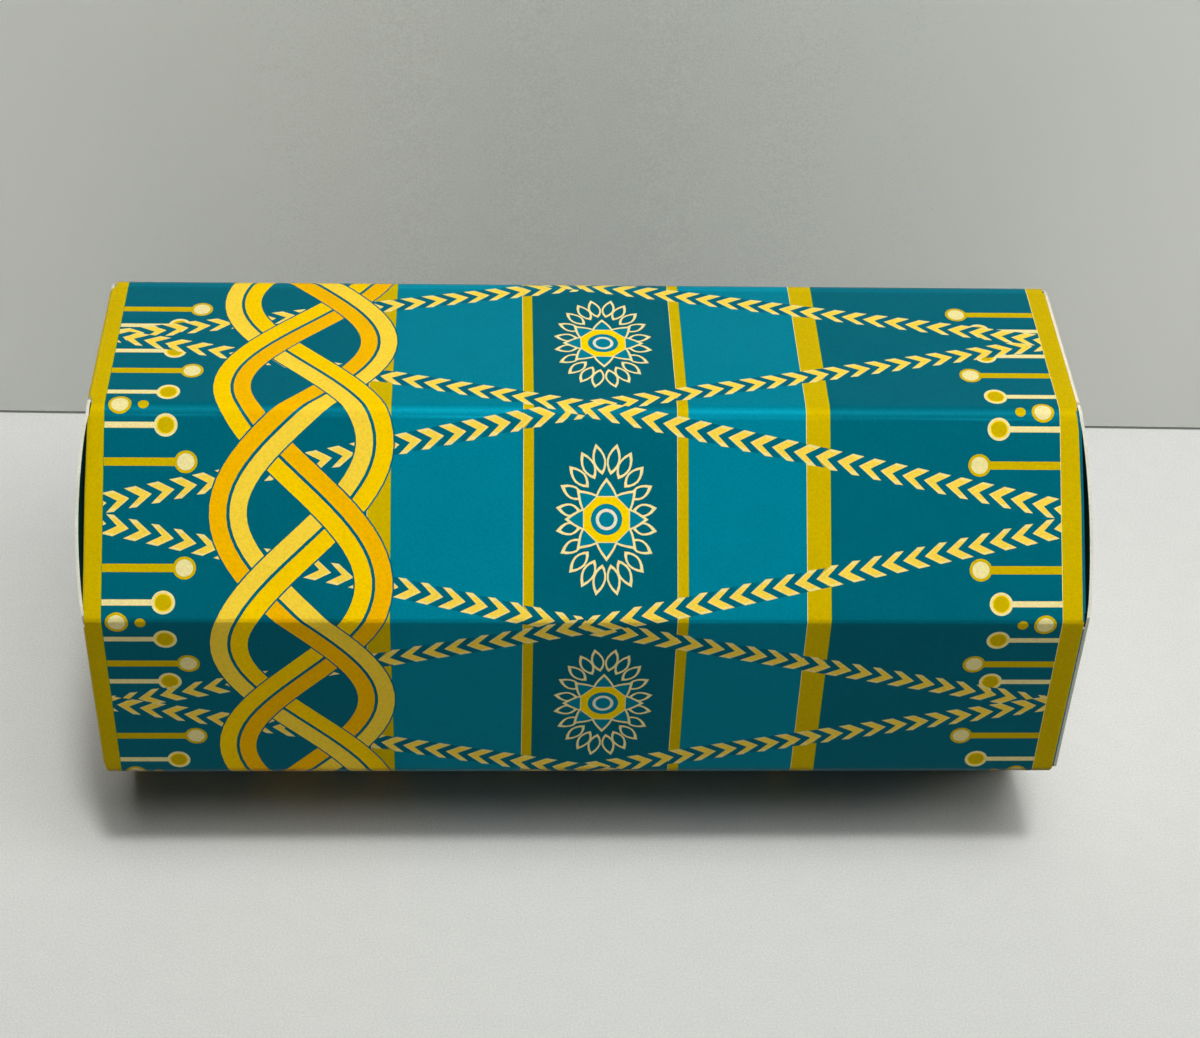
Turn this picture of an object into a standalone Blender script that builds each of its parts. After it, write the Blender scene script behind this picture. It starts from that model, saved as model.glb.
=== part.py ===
"""Printed favor carton: an eight-sided tube of folded card with tuck ends, lying on one facet.

The real carton is one die-cut sheet, creased, folded and glued along one seam. Each stretch of
card between two creases is one object here. Metres, +Z up. The origin is under the middle of the
carton, on the face that it rests on, and X runs along the tube.
"""

import math

import bmesh
import bpy
from mathutils import Vector

for old in list(bpy.data.objects):
    bpy.data.objects.remove(old, do_unlink=True)

# Sizes of the sheet

CARD = 0.0004  # thickness of the card
GAP = 0.0003  # slit left at every crease and between card that lies on card

# Sizes of the tube

FACET_NAMES = (
    "top", "front_upper", "front", "front_lower",
    "bottom", "back_lower", "back", "back_upper",
)
LENGTH = 0.127  # over both end covers
FACET_WIDTH = 0.0272  # from fold to fold
FOLD_INSIDE = 0.0005  # inside radius of the folds between facets
FOLD_STEPS = 5  # flats round one fold
NOTCH = 0.0008  # relief cut at each corner of a facet, along and across
ROUND_SHARE = 0.7  # rounding of a creased edge, as a share of the card
ROUND_STEPS = 3  # flats round a creased edge
GLUE_WIDTH = 0.011  # width of the glued strip
GLUE_END = 0.0042  # how far the glued strip stops short of the tube's end
GLUE_SLANT_SHARE = 0.35  # slant of its ends, as a share of its width

# Sizes of the ends

COVER_INSET = 0.0002  # cover's free edges, inside the line of the facets
EAR_CUT = 0.0006  # corner cut off the cover beside its hinge crease
BOW = 0.0011  # how far the cover's springy upper edges stand out
BOW_CORNER_SHARE = 0.4  # what is left of the bow at the next corner down
BOW_FULLNESS_SHARE = 0.7  # below 1, the bow fills out towards its ends
RING_SHARES = (1.0, 0.94, 0.84, 0.71, 0.55, 0.36)  # rings of the cover's mesh
SIDE_STEPS = 8  # points along each side of the cover
DUST_HEIGHT = 0.012  # crease to tip
DUST_SHOULDER = 0.0015  # dust flap's root, in from each fold
DUST_TAPER_SHARE = 0.58  # how far its sides lean in for each unit of height
DUST_CORNER = 0.002  # radius of its corners
TUCK_LENGTH = 0.012  # crease to tip
TUCK_SHOULDER = 0.001  # tuck flap's root, in from each fold
TUCK_CORNER = 0.005  # radius of its corners
CORNER_STEPS = 6  # flats round a flap's corner

# Colours of the sheet, linear

TEAL = (0.0, 0.13, 0.17, 1.0)
CREAM = (0.86, 0.83, 0.72, 1.0)
BOARD_WHITE = (0.80, 0.80, 0.76, 1.0)

# Worked out from the sizes above

TURN = 2 * math.pi / len(FACET_NAMES)
APOTHEM = FACET_WIDTH / 2 / math.tan(TURN / 2)
FOLD_RADIUS = FOLD_INSIDE + CARD
FLAT_HALF = FACET_WIDTH / 2 - FOLD_RADIUS * math.tan(TURN / 2)
LINING = CARD + GAP  # depth of a second layer of card under the first
FLAP_FACE = LENGTH / 2 - LINING  # outer face of the dust flaps, where the tube ends
CREASE_ROUND = ROUND_SHARE * CARD
HINGE_X = LENGTH / 2 - CARD / 2
HINGE_Z = 2 * APOTHEM - CARD / 2
SIDES = {"right": 1, "left": -1}


def finish(name, colour, roughness):
    """Card with its print or its bare face: a plain Principled material."""
    made = bpy.data.materials.new(name)
    made.use_nodes = True
    shader = made.node_tree.nodes["Principled BSDF"]
    shader.inputs["Base Color"].default_value = colour
    shader.inputs["Roughness"].default_value = roughness
    shader.inputs["Metallic"].default_value = 0.0
    made.diffuse_color = colour
    return made


PRINTED = finish("printed_card", TEAL, 0.42)
COVER_FACE = finish("cream_card", CREAM, 0.5)
BARE = finish("bare_board", BOARD_WHITE, 0.8)


def place(name, mesh, material, parent=None, at=(0, 0, 0), turned=(0, 0, 0)):
    """Puts a finished mesh in the scene as one piece of the carton."""
    mesh.materials.append(material)
    piece = bpy.data.objects.new(name, mesh)
    bpy.context.scene.collection.objects.link(piece)
    piece.parent = parent
    piece.location = at
    piece.rotation_euler = turned
    return piece


def closed(bm, name, smooth_angle=math.radians(35)):
    """Turns a bmesh into a closed mesh with outward faces and soft folds."""
    bmesh.ops.recalc_face_normals(bm, faces=bm.faces)
    mesh = bpy.data.meshes.new(name)
    bm.to_mesh(mesh)
    bm.free()
    mesh.shade_smooth()
    mesh.set_sharp_from_angle(angle=smooth_angle)
    return mesh


def plate(name, outline, thickness):
    """A flat piece of card: its outline, pushed through by the thickness vector."""
    bm = bmesh.new()
    face = bm.faces.new([bm.verts.new(p) for p in outline])
    pushed = bmesh.ops.extrude_face_region(bm, geom=[face])["geom"]
    moved = [v for v in pushed if isinstance(v, bmesh.types.BMVert)]
    bmesh.ops.translate(bm, verts=moved, vec=thickness)
    return closed(bm, name)


def corner_arc(centre, radius, start, stop):
    """Points round a flap's corner, in the flap's own flat plane."""
    points = []
    for step in range(CORNER_STEPS + 1):
        angle = start + (stop - start) * step / CORNER_STEPS
        points.append((centre[0] + radius * math.cos(angle), centre[1] + radius * math.sin(angle)))
    return points


# The tube: facets with their folds

def folded(across, depth):
    """(y, z) from the tube's axis of a point on the top facet or on the fold at its front.

    across is measured along the outer face from the facet's middle, and depth into the card.
    """
    if across >= -FLAT_HALF:
        return across, APOTHEM - depth
    bend = (-FLAT_HALF - across) / FOLD_RADIUS
    reach = FOLD_RADIUS - depth
    y = -FLAT_HALF - reach * math.sin(bend)
    z = APOTHEM - FOLD_RADIUS + reach * math.cos(bend)
    return y, z


def end_sections(end):
    """(x, depth of the outer face, cut at each corner) of the sections near one end."""
    sections = [(end - NOTCH, 0.0, 0.0)]
    for step in range(ROUND_STEPS + 1):
        angle = math.pi / 2 * step / ROUND_STEPS
        back = CREASE_ROUND * (1 - math.sin(angle))
        sections.append((end - back, CREASE_ROUND * (1 - math.cos(angle)), NOTCH - back))
    return sections


def facet_mesh(name, end):
    """One facet with the fold along its front edge, from one end of the tube to the other."""
    near = end_sections(end)
    sections = [(-x, depth, cut) for x, depth, cut in reversed(near)] + near
    first, last = FLAT_HALF - GAP, -FLAT_HALF - FOLD_RADIUS * TURN
    columns = [first, -FLAT_HALF]
    columns += [-FLAT_HALF - FOLD_RADIUS * TURN * (n + 1) / FOLD_STEPS for n in range(FOLD_STEPS)]
    middle = (first + last) / 2
    half = (first - last) / 2

    bm = bmesh.new()
    grids = []
    for inner in (False, True):
        grid = []
        for x, depth, cut in sections:
            row = []
            for across in columns:
                drawn_in = middle + (across - middle) * (half - cut) / half
                y, z = folded(drawn_in, CARD if inner else depth)
                row.append(bm.verts.new((x, y, z)))
            grid.append(row)
        grids.append(grid)
        for here, there in zip(grid, grid[1:]):
            for n in range(len(columns) - 1):
                bm.faces.new((here[n], here[n + 1], there[n + 1], there[n]))
    outer, inner = grids
    for rim_out, rim_in in zip(rims(outer), rims(inner)):
        for n in range(len(rim_out) - 1):
            bm.faces.new((rim_out[n], rim_out[n + 1], rim_in[n + 1], rim_in[n]))
    return closed(bm, name)


def rims(grid):
    """The four edges of a grid of points."""
    return (
        grid[0],
        grid[-1],
        [row[0] for row in grid],
        [row[-1] for row in grid],
    )


facet_axes = []
for number, facet in enumerate(FACET_NAMES):
    axis = bpy.data.objects.new(f"axis_{facet}", None)
    bpy.context.scene.collection.objects.link(axis)
    axis.location = (0, 0, APOTHEM)
    axis.rotation_euler = (number * TURN, 0, 0)
    facet_axes.append(axis)
    tube_end = LENGTH / 2 if facet == "bottom" else FLAP_FACE
    place(f"panel_{facet}", facet_mesh(facet, tube_end), PRINTED, axis)


# The seam: a strip that hangs on the lower back facet and is glued inside the back facet

def glue_outline():
    """Outline of the strip, its slanted ends clear of the dust flap that folds over it."""
    z = APOTHEM - LINING
    wide = FLAP_FACE - GLUE_END
    narrow = wide - GLUE_SLANT_SHARE * GLUE_WIDTH
    seam = FLAT_HALF - GAP
    edge = seam - GLUE_WIDTH
    return [(-wide, seam, z), (-narrow, edge, z), (narrow, edge, z), (wide, seam, z)]


place(
    "glue_flap",
    plate("glue_flap", glue_outline(), Vector((0, 0, -CARD))),
    BARE,
    facet_axes[FACET_NAMES.index("back")],
)


# Dust flaps: six at each end, folded in behind the cover

def dust_outline():
    """Outline of a dust flap in its own plane, hanging from its crease."""
    root = FACET_WIDTH / 2 - DUST_SHOULDER
    lean = math.atan(DUST_TAPER_SHARE)
    tip = root - DUST_TAPER_SHARE * DUST_HEIGHT
    inset = DUST_CORNER * math.tan((math.pi / 2 - lean) / 2)
    low = -DUST_HEIGHT + DUST_CORNER
    arc = corner_arc((tip - inset, low), DUST_CORNER, -lean, -math.pi / 2)
    half = [(root, 0.0)] + arc
    return half + [(-y, z) for y, z in reversed(half)]


def dust_mesh(name):
    """A dust flap with its origin on the crease, standing across the tube's end."""
    outline = [(0, y, z) for y, z in dust_outline()]
    return plate(name, outline, Vector((CARD, 0, 0)))


for side, sign in SIDES.items():
    for axis, facet in zip(facet_axes, FACET_NAMES):
        if facet in ("top", "bottom"):
            continue
        place(
            f"{side}_dust_flap_{facet}",
            dust_mesh(facet),
            PRINTED,
            axis,
            at=(sign * (FLAP_FACE - CARD), 0, APOTHEM - LINING),
            turned=(0, 0, 0 if side == "right" else math.pi),
        )


# End covers: an octagon hinged on the top facet, bowed where it springs off the tube

def cover_sides():
    """(direction, distance from the tube's axis, how the side is bowed) of the cover's sides."""
    corner = APOTHEM / math.cos(TURN / 2)
    free = APOTHEM - COVER_INSET
    return (
        (0, APOTHEM, None),
        (TURN / 2, corner - EAR_CUT, None),
        (TURN, free, "bow"),
        (2 * TURN, free, "tail"),
        (3 * TURN, free, None),
        (4 * TURN, APOTHEM - LINING, None),
        (5 * TURN, free, None),
        (6 * TURN, free, "tail_back"),
        (7 * TURN, free, "bow_back"),
        (7.5 * TURN, corner - EAR_CUT, None),
    )


def crossing(one, other):
    """Where two sides of the cover meet."""
    a, b = -math.sin(one[0]), math.cos(one[0])
    c, d = -math.sin(other[0]), math.cos(other[0])
    det = a * d - b * c
    return (one[1] * d - b * other[1]) / det, (a * other[1] - c * one[1]) / det


def bow_share(kind, along):
    """How far a side stands out, where along runs from 0 to 1 round the cover from its front."""
    if kind is None:
        return 0.0
    if kind.endswith("back"):
        along = 1 - along
    if kind.startswith("tail"):
        return BOW_CORNER_SHARE * (1 - along) ** 2
    swell = math.sin(math.pi * along) ** BOW_FULLNESS_SHARE
    return swell + BOW_CORNER_SHARE * along ** 2 * (1 - swell)


def cover_rim():
    """(y, z, share of the bow, side number) of points round the cover's edge."""
    sides = cover_sides()
    rim = []
    for number, side in enumerate(sides):
        start = crossing(sides[number - 1], side)
        stop = crossing(side, sides[(number + 1) % len(sides)])
        steps = SIDE_STEPS if side[2] else 1
        for step in range(steps):
            along = step / steps
            y = start[0] + (stop[0] - start[0]) * along
            z = start[1] + (stop[1] - start[1]) * along
            rim.append((y, z, bow_share(side[2], along)))
    return rim


def cover_mesh(name):
    """The cover of the right end, with its origin on its hinge crease."""
    rim = cover_rim()
    bm = bmesh.new()
    rings = {}
    for face in (0, -CARD):
        for share in RING_SHARES:
            swell = ((share - RING_SHARES[-1]) / (1 - RING_SHARES[-1])) ** 2
            ring = []
            for y, z, bow in rim:
                x = LENGTH / 2 - HINGE_X + face + BOW * bow * swell
                ring.append(bm.verts.new((x, y * share, z * share + APOTHEM - HINGE_Z)))
            rings[face, share] = ring
        bm.faces.new(rings[face, RING_SHARES[-1]])
        for share, smaller in zip(RING_SHARES, RING_SHARES[1:]):
            join_rings(bm, rings[face, share], rings[face, smaller])
    join_rings(bm, rings[0, 1.0], rings[-CARD, 1.0])
    round_creases(bm, rings[0, 1.0])
    return closed(bm, name)


def join_rings(bm, one, other):
    """Quads between two rings of as many points."""
    for n in range(len(one)):
        bm.faces.new((one[n - 1], one[n], other[n], other[n - 1]))


def round_creases(bm, ring):
    """Rounds the outer edge at the hinge crease and at the tuck flap's crease."""
    bmesh.ops.recalc_face_normals(bm, faces=bm.faces)
    heights = [v.co.z for v in ring]
    creases = []
    for n in range(len(ring)):
        pair = (ring[n - 1], ring[n])
        level = abs(pair[0].co.z - pair[1].co.z) < GAP / 100
        if level and (pair[0].co.z > max(heights) - GAP or pair[0].co.z < min(heights) + GAP):
            creases.append(bm.edges.get(pair))
    bmesh.ops.bevel(
        bm, geom=creases, offset=CREASE_ROUND, segments=ROUND_STEPS, profile=0.5, affect="EDGES"
    )


# Tuck flaps: on the cover's lower edge, pushed in over the bottom facet

def tuck_rise():
    """The slope that keeps the flap's tip off the bottom facet as the cover swings on its crease."""
    drop = HINGE_Z - LINING
    return math.asin((TUCK_LENGTH + 2 * (HINGE_X - FLAP_FACE)) / (2 * drop))


def tuck_mesh(name):
    """The tuck flap of the right end, with its origin on the upper edge of its root."""
    root = FACET_WIDTH / 2 - TUCK_SHOULDER
    arc = corner_arc((TUCK_LENGTH - TUCK_CORNER, root - TUCK_CORNER), TUCK_CORNER, math.pi / 2, 0)
    half = [(0.0, root)] + arc
    outline = [(-x, y, 0) for x, y in half] + [(-x, -y, 0) for x, y in reversed(half)]
    return plate(name, outline, Vector((0, 0, -CARD)))


for side, sign in SIDES.items():
    facing = 0 if side == "right" else math.pi
    cover = place(
        f"{side}_end_cover",
        cover_mesh("cover"),
        COVER_FACE,
        at=(sign * HINGE_X, 0, HINGE_Z),
        turned=(0, 0, facing),
    )
    place(
        f"{side}_tuck_flap",
        tuck_mesh("tuck"),
        COVER_FACE,
        cover,
        at=(FLAP_FACE - HINGE_X, 0, LINING + CARD - HINGE_Z),
        turned=(0, tuck_rise(), 0),
    )
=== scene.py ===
"""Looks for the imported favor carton: a printed eight-sided tube of card with tuck ends.

Flat sizes are in millimetres, as on a die drawing; everything placed in the scene is in metres.
"""

import math

import bmesh
import bpy
from mathutils import Matrix, Vector
from mathutils.geometry import delaunay_2d_cdt


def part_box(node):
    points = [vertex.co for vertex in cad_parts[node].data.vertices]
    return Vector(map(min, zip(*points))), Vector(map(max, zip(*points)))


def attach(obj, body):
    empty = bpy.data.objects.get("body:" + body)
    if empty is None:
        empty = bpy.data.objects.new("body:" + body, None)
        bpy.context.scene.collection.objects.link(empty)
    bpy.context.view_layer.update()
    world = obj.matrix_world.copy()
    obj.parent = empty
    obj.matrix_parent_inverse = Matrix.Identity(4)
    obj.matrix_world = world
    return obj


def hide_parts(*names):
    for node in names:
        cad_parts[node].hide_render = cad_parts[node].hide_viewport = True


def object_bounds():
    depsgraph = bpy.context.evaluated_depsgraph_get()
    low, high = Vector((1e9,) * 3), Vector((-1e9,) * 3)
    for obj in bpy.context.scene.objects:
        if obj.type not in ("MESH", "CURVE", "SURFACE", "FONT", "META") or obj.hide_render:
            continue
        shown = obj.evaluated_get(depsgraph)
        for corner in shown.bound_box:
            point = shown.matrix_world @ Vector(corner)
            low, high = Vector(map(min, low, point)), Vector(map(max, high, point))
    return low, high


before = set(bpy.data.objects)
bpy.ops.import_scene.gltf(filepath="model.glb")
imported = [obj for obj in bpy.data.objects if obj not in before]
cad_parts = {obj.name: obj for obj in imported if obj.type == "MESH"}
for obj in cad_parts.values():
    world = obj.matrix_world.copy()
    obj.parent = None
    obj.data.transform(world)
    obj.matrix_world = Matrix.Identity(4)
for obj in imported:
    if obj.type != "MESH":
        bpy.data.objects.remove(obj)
cad_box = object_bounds()

# The sheet: folding box board about 0.4 mm thick, printed outside; its inside is given a dark green,
# which is painted shade for the slits beside the covers; its core is pale. It is die cut in one piece
# and creased. Every stretch between two creases is one piece here, cut flat and then folded.

MM = 0.001
FACETS = (
    "top", "front_upper", "front", "front_lower",
    "bottom", "back_lower", "back", "back_upper",
)
SIDES = {"right": 1, "left": -1}
# The inside's dark green is painted shade, for the slits beside the covers.
INSIDE_GREEN_SHADE = (10, 62, 54)
BOARD_CUT = (224, 223, 206)
CLOUDS = (260.0, 3.0)  # (scale, detail) of the slow noise in the paper's colour and gloss
FIBRES = (3400.0, 2.0)  # (scale, detail) of the fine noise in its surface
CLOUD_SPAN = (0.3, 0.7)  # stretch of the slow noise that runs from deep to pale
DUSTING = 0.02  # a little white in the pale clouds, as a share of the mottle
SPECKLE = ((0.25, 0.9), (0.75, 1.08))  # (fine noise, brightness) of the darkest and palest specks
CREASE_SHEEN_BREAKUP = ((0.3, 0.7), (0.8, 1.0))  # (fine noise, wear) on a crease: it breaks up the painted highlight and the wear there
GLOSS_SPREAD = (-0.03, 0.04)
GLOSS_LEVEL = 0.1
FIBRE_DEPTH = 0.0001
CREASE_SHEEN_LIFT = 2.4  # how much paler an ink is painted along a crease: a painted highlight, with a little wear
# A touch of white in the painted highlight along a crease.
CREASE_SHEEN_WHITE = 0.004
PALEST = 0.8
FLAT_BAND = 0.48  # share of a piece's bake map that one face takes
MAP_EDGE = 0.005
SMOOTH_BELOW = math.radians(40)
CUT_GRAIN = 1e-4  # cuts that run closer than this are one cut

glue_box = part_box("glue_flap")
card = (glue_box[1].y - glue_box[0].y) / MM
apothem = (cad_box[1].z - cad_box[0].z) / 2 / MM
turn = 2 * math.pi / len(FACETS)
facet_width = 2 * apothem * math.tan(turn / 2)
tube_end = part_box("panel_top")[1].x / MM
cover_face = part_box("panel_bottom")[1].x / MM
lining = cover_face - tube_end
sheet_round = facet_width * len(FACETS)


def linear(colour):
    """A colour of 0 to 255 steps, as the eye sees it, made linear for a shader."""
    parts = [c / 255 for c in colour]
    return [p / 12.92 if p < 0.04045 else ((p + 0.055) / 1.055) ** 2.4 for p in parts] + [1.0]


def shader_node(tree, kind, sockets=None, **settings):
    """One node, its settings made and its sockets wired or filled."""
    made = tree.nodes.new(kind)
    for key, value in settings.items():
        setattr(made, key, value)
    for key, value in (sockets or {}).items():
        if isinstance(value, bpy.types.NodeSocket):
            tree.links.new(value, made.inputs[key])
        else:
            made.inputs[key].default_value = value
    return made


def maths(tree, operation, *values):
    """The outcome of one sum on numbers or sockets."""
    return shader_node(
        tree, "ShaderNodeMath", dict(enumerate(values)), operation=operation
    ).outputs[0]


def ranged(tree, value, low, high):
    """A value carried from one range to another and held at its ends, each end as (from, to)."""
    spans = {"From Min": low[0], "From Max": high[0], "To Min": low[1], "To Max": high[1]}
    return shader_node(tree, "ShaderNodeMapRange", {"Value": value, **spans}).outputs[0]


def mixed(tree, share, first, second):
    """A colour between two."""
    return shader_node(
        tree, "ShaderNodeMix", {0: share, 6: first, 7: second}, data_type="RGBA"
    ).outputs[2]


def paper(name, colour, roughness, tooth=0.05, sheen_and_wear=0.0, mottle=0.05, tinted=0.0):
    """Card: a faint cloudiness and speckle in its colour, fibres in its surface, creases painted pale as
    a painted highlight with a little wear.
    """
    material = bpy.data.materials.new(name)
    material.use_nodes = True
    tree = material.node_tree
    shader = tree.nodes["Principled BSDF"]
    place = shader_node(tree, "ShaderNodeTexCoord").outputs["Object"]
    cloud, grain = (
        shader_node(
            tree, "ShaderNodeTexNoise", {"Vector": place, "Scale": scale, "Detail": detail}
        ).outputs[0]
        for scale, detail in (CLOUDS, FIBRES)
    )
    plain = linear(colour)[:3]
    deep = [c * (1 - mottle) for c in plain] + [1.0]
    pale = [min(1.0, c * (1 + mottle) + mottle * DUSTING) for c in plain] + [1.0]
    clouded = ranged(tree, cloud, (CLOUD_SPAN[0], 0.0), (CLOUD_SPAN[1], 1.0))
    speckled = shader_node(
        tree, "ShaderNodeVectorMath",
        {0: mixed(tree, clouded, deep, pale), 1: ranged(tree, grain, *SPECKLE)},
        operation="MULTIPLY",
    ).outputs[0]
    # Along a crease the ink is painted paler: a painted highlight, with a little wear.
    lift = max(1.0, min(CREASE_SHEEN_LIFT, PALEST / max(plain)))
    sheen_colour = [c * lift + CREASE_SHEEN_WHITE * (lift - 1) for c in plain] + [1.0]
    crease = shader_node(tree, "ShaderNodeAttribute", attribute_name="crease").outputs["Fac"]
    crease_sheen_mask = maths(tree, "MULTIPLY", crease, ranged(tree, grain, *CREASE_SHEEN_BREAKUP))
    finished = mixed(tree, maths(tree, "MULTIPLY", crease_sheen_mask, sheen_and_wear), speckled, sheen_colour)
    gloss = ranged(
        tree, cloud, *((at, roughness + more) for at, more in zip(CLOUD_SPAN, GLOSS_SPREAD))
    )
    bump = shader_node(
        tree, "ShaderNodeBump", {"Height": grain, "Strength": tooth, "Distance": FIBRE_DEPTH}
    ).outputs[0]
    for socket, value in (("Base Color", finished), ("Roughness", gloss), ("Normal", bump)):
        tree.links.new(value, shader.inputs[socket])
    hue = [1 - tinted + tinted * c / max(plain) for c in plain] + [1.0]
    shader.inputs["Specular Tint"].default_value = hue
    shader.inputs["Specular IOR Level"].default_value = GLOSS_LEVEL
    material.diffuse_color = linear(colour)
    return material


# The inside of the board: dark green as painted shade in the slits beside the covers.
inside_green_shade = paper("inside_green_shade", INSIDE_GREEN_SHADE, 0.78, tooth=0.25)
board_cut = paper("board_cut", BOARD_CUT, 0.85, tooth=0.4, mottle=0.09)


def holds(shape, x, v):
    """Whether a flat outline goes round a point."""
    inside = False
    for (x0, v0), (x1, v1) in zip(shape, shape[1:] + shape[:1]):
        if (v0 > v) != (v1 > v) and x < x0 + (v - v0) * (x1 - x0) / (v1 - v0):
            inside = not inside
    return inside


def cut_flat(outline, lines, shapes):
    """Triangles of a flat outline, cut along lines and along the edges of printed shapes.

    Gives the points, the triangles and, for each of them, the number of the uppermost shape on it.
    """
    points, faces, edges = [], [], []
    shapes = [list(shape) for shape in [outline] + shapes]
    for shape in shapes:
        area = sum(a[0] * b[1] - b[0] * a[1] for a, b in zip(shape, shape[1:] + shape[:1]))
        if area < 0:
            shape.reverse()
        faces.append(list(range(len(points), len(points) + len(shape))))
        points.extend(Vector(p) for p in shape)
    for line in lines:
        first = len(points)
        points.extend(Vector(p) for p in line)
        edges.extend((n, n + 1) for n in range(first, len(points) - 1))
    made = delaunay_2d_cdt(points, edges, faces, 1, CUT_GRAIN, True)
    kept = []
    for face, on in zip(made[2], made[5]):
        if 0 in on:
            x, v = (sum(made[0][n][axis] for n in face) / len(face) for axis in (0, 1))
            top = next(n for n in sorted(on, reverse=True) if not n or holds(shapes[n], x, v))
            kept.append((face, top))
    used = sorted({n for face, _ in kept for n in face})
    renumbered = {n: number for number, n in enumerate(used)}
    triangles = [[renumbered[n] for n in face] for face, _ in kept]
    return [tuple(made[0][n]) for n in used], triangles, [top for _, top in kept]


def rim_of(triangles):
    """The loop of points round a cut outline."""
    ahead = {}
    for a, b, c in triangles:
        for edge in ((a, b), (b, c), (c, a)):
            ahead[edge] = True
    following = {a: b for a, b in ahead if (b, a) not in ahead}
    start = min(following)
    loop = [start]
    while following[loop[-1]] != start:
        loop.append(following[loop[-1]])
    return loop


def card_piece(name, node, body, outline, place, face_ink, lines=(), prints=(), sheen_and_wear=None):
    """Cuts a piece of card with its print, folds it with place(x, v, depth) and rides it."""
    shapes = [shape for shape, ink in prints]
    points, triangles, uppermost = cut_flat(outline, lines, shapes)
    loop = rim_of(triangles)
    rim = [points[n] for n in loop]
    back_points, back_triangles, _ = cut_flat(rim, lines, [])
    back_number = {p: n for n, p in enumerate(back_points)}
    first_back = len(points)
    materials = [inside_green_shade, board_cut, face_ink]
    for _, ink in prints:
        if ink not in materials:
            materials.append(ink)
    verts = [place(x, v, 0.0) for x, v in points] + [place(x, v, card) for x, v in back_points]

    low = [min(p[axis] for p in rim) for axis in (0, 1)]
    span = [max(p[axis] for p in rim) - low[axis] for axis in (0, 1)]

    def on_map(point, band):
        u = MAP_EDGE + (1 - 2 * MAP_EDGE) * (point[0] - low[0]) / span[0]
        v = MAP_EDGE + (FLAT_BAND - MAP_EDGE) * (point[1] - low[1]) / span[1] + band * FLAT_BAND
        return u, v

    faces, inks, maps = [], [], []
    for triangle, top in zip(triangles, uppermost):
        faces.append(triangle)
        inks.append(materials.index(prints[top - 1][1]) if top else 2)
        maps.extend(on_map(points[n], 0) for n in triangle)
    for triangle in back_triangles:
        faces.append([first_back + n for n in reversed(triangle)])
        inks.append(0)
        maps.extend(on_map(back_points[n], 1) for n in reversed(triangle))
    strip = (2 * FLAT_BAND + MAP_EDGE, 1 - MAP_EDGE)
    for step, here in enumerate(loop):
        there = loop[(step + 1) % len(loop)]
        under = [first_back + back_number[points[n]] for n in (there, here)]
        faces.append([there, here, under[1], under[0]])
        inks.append(1)
        ends = [MAP_EDGE + (1 - 2 * MAP_EDGE) * (step + n) / len(loop) for n in (0, 1)]
        maps.extend([(ends[1], strip[0]), (ends[0], strip[0]), (ends[0], strip[1]), (ends[1], strip[1])])

    mesh = bpy.data.meshes.new(name)
    mesh.from_pydata([[c * MM for c in v] for v in verts], [], faces)
    for material in materials:
        mesh.materials.append(material)
    mesh.polygons.foreach_set("material_index", inks)
    layer = mesh.uv_layers.new(name="OFBake")
    layer.data.foreach_set("uv", [c for pair in maps for c in pair])
    crease = mesh.attributes.new("crease", "FLOAT", "POINT")
    sheen_and_wear = sheen_and_wear or (lambda x, v: 0.0)
    crease.data.foreach_set("value", [sheen_and_wear(x, v) for x, v in points + back_points])
    bm = bmesh.new()
    bm.from_mesh(mesh)
    bmesh.ops.recalc_face_normals(bm, faces=bm.faces)
    bm.to_mesh(mesh)
    bm.free()
    mesh.shade_smooth()
    mesh.set_sharp_from_angle(angle=SMOOTH_BELOW)
    piece = bpy.data.objects.new(name, mesh)
    bpy.context.scene.collection.objects.link(piece)
    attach(piece, body)
    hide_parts(node)


# The print: spot inks on the flat sheet, a run of rope borders and rosettes between bands.
# Across the sheet x runs along the tube, and v runs round it, from the fold behind the top facet
# down over the front. Each ink goes down over the one before it, and a satin varnish goes over all.

INK_GLOSS = 0.38
# How far an ink is painted pale along its creases: a painted highlight, with a little wear.
INK_SHEEN_AND_WEAR = 0.8
INK_CLOUD = 0.02
INK_TINT = 1.0  # how far a gloss on the ink takes the ink's own hue


def ink(name, colour):
    return paper(name, colour, INK_GLOSS, sheen_and_wear=INK_SHEEN_AND_WEAR, mottle=INK_CLOUD, tinted=INK_TINT)


teal = ink("teal_ground", (0, 98, 114))
light_teal = ink("teal_light", (0, 126, 147))
centre_teal = ink("teal_centre", (0, 95, 110))
olive = ink("olive", (208, 178, 0))
cream = ink("cream", (244, 230, 160))
gold = ink("gold", (252, 217, 76))
pale_gold = ink("pale_gold", (246, 226, 136))
yellow = ink("yellow", (255, 215, 0))
eye_cream = ink("eye_cream", (228, 230, 202))

prints = []  # (outline on the flat sheet, ink), the lowest first


def box_shape(left, right, above, below):
    return [(left, above), (right, above), (right, below), (left, below)]


SHEET_EDGE = 70.0  # past the end of every crease
WRAP = 6.0  # how far the print goes past the sheet's two long edges
CENTRE_BAND = (-7.0, 11.33)
LIGHT_BAND = (-25.08, 27.83)


def print_band(left, right, colour, above=-WRAP, below=sheet_round + WRAP):
    """Prints a band over the whole sheet, or over a stretch of it."""
    prints.append((box_shape(left, right, above, below), colour))


print_band(*LIGHT_BAND, light_teal)
print_band(*CENTRE_BAND, centre_teal)

# The stripes: two wide and two thin ones, run round the tube. The olive ink is a hair out of
# register, so each one shows a cream hairline on its left and a green one on its right.

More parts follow.
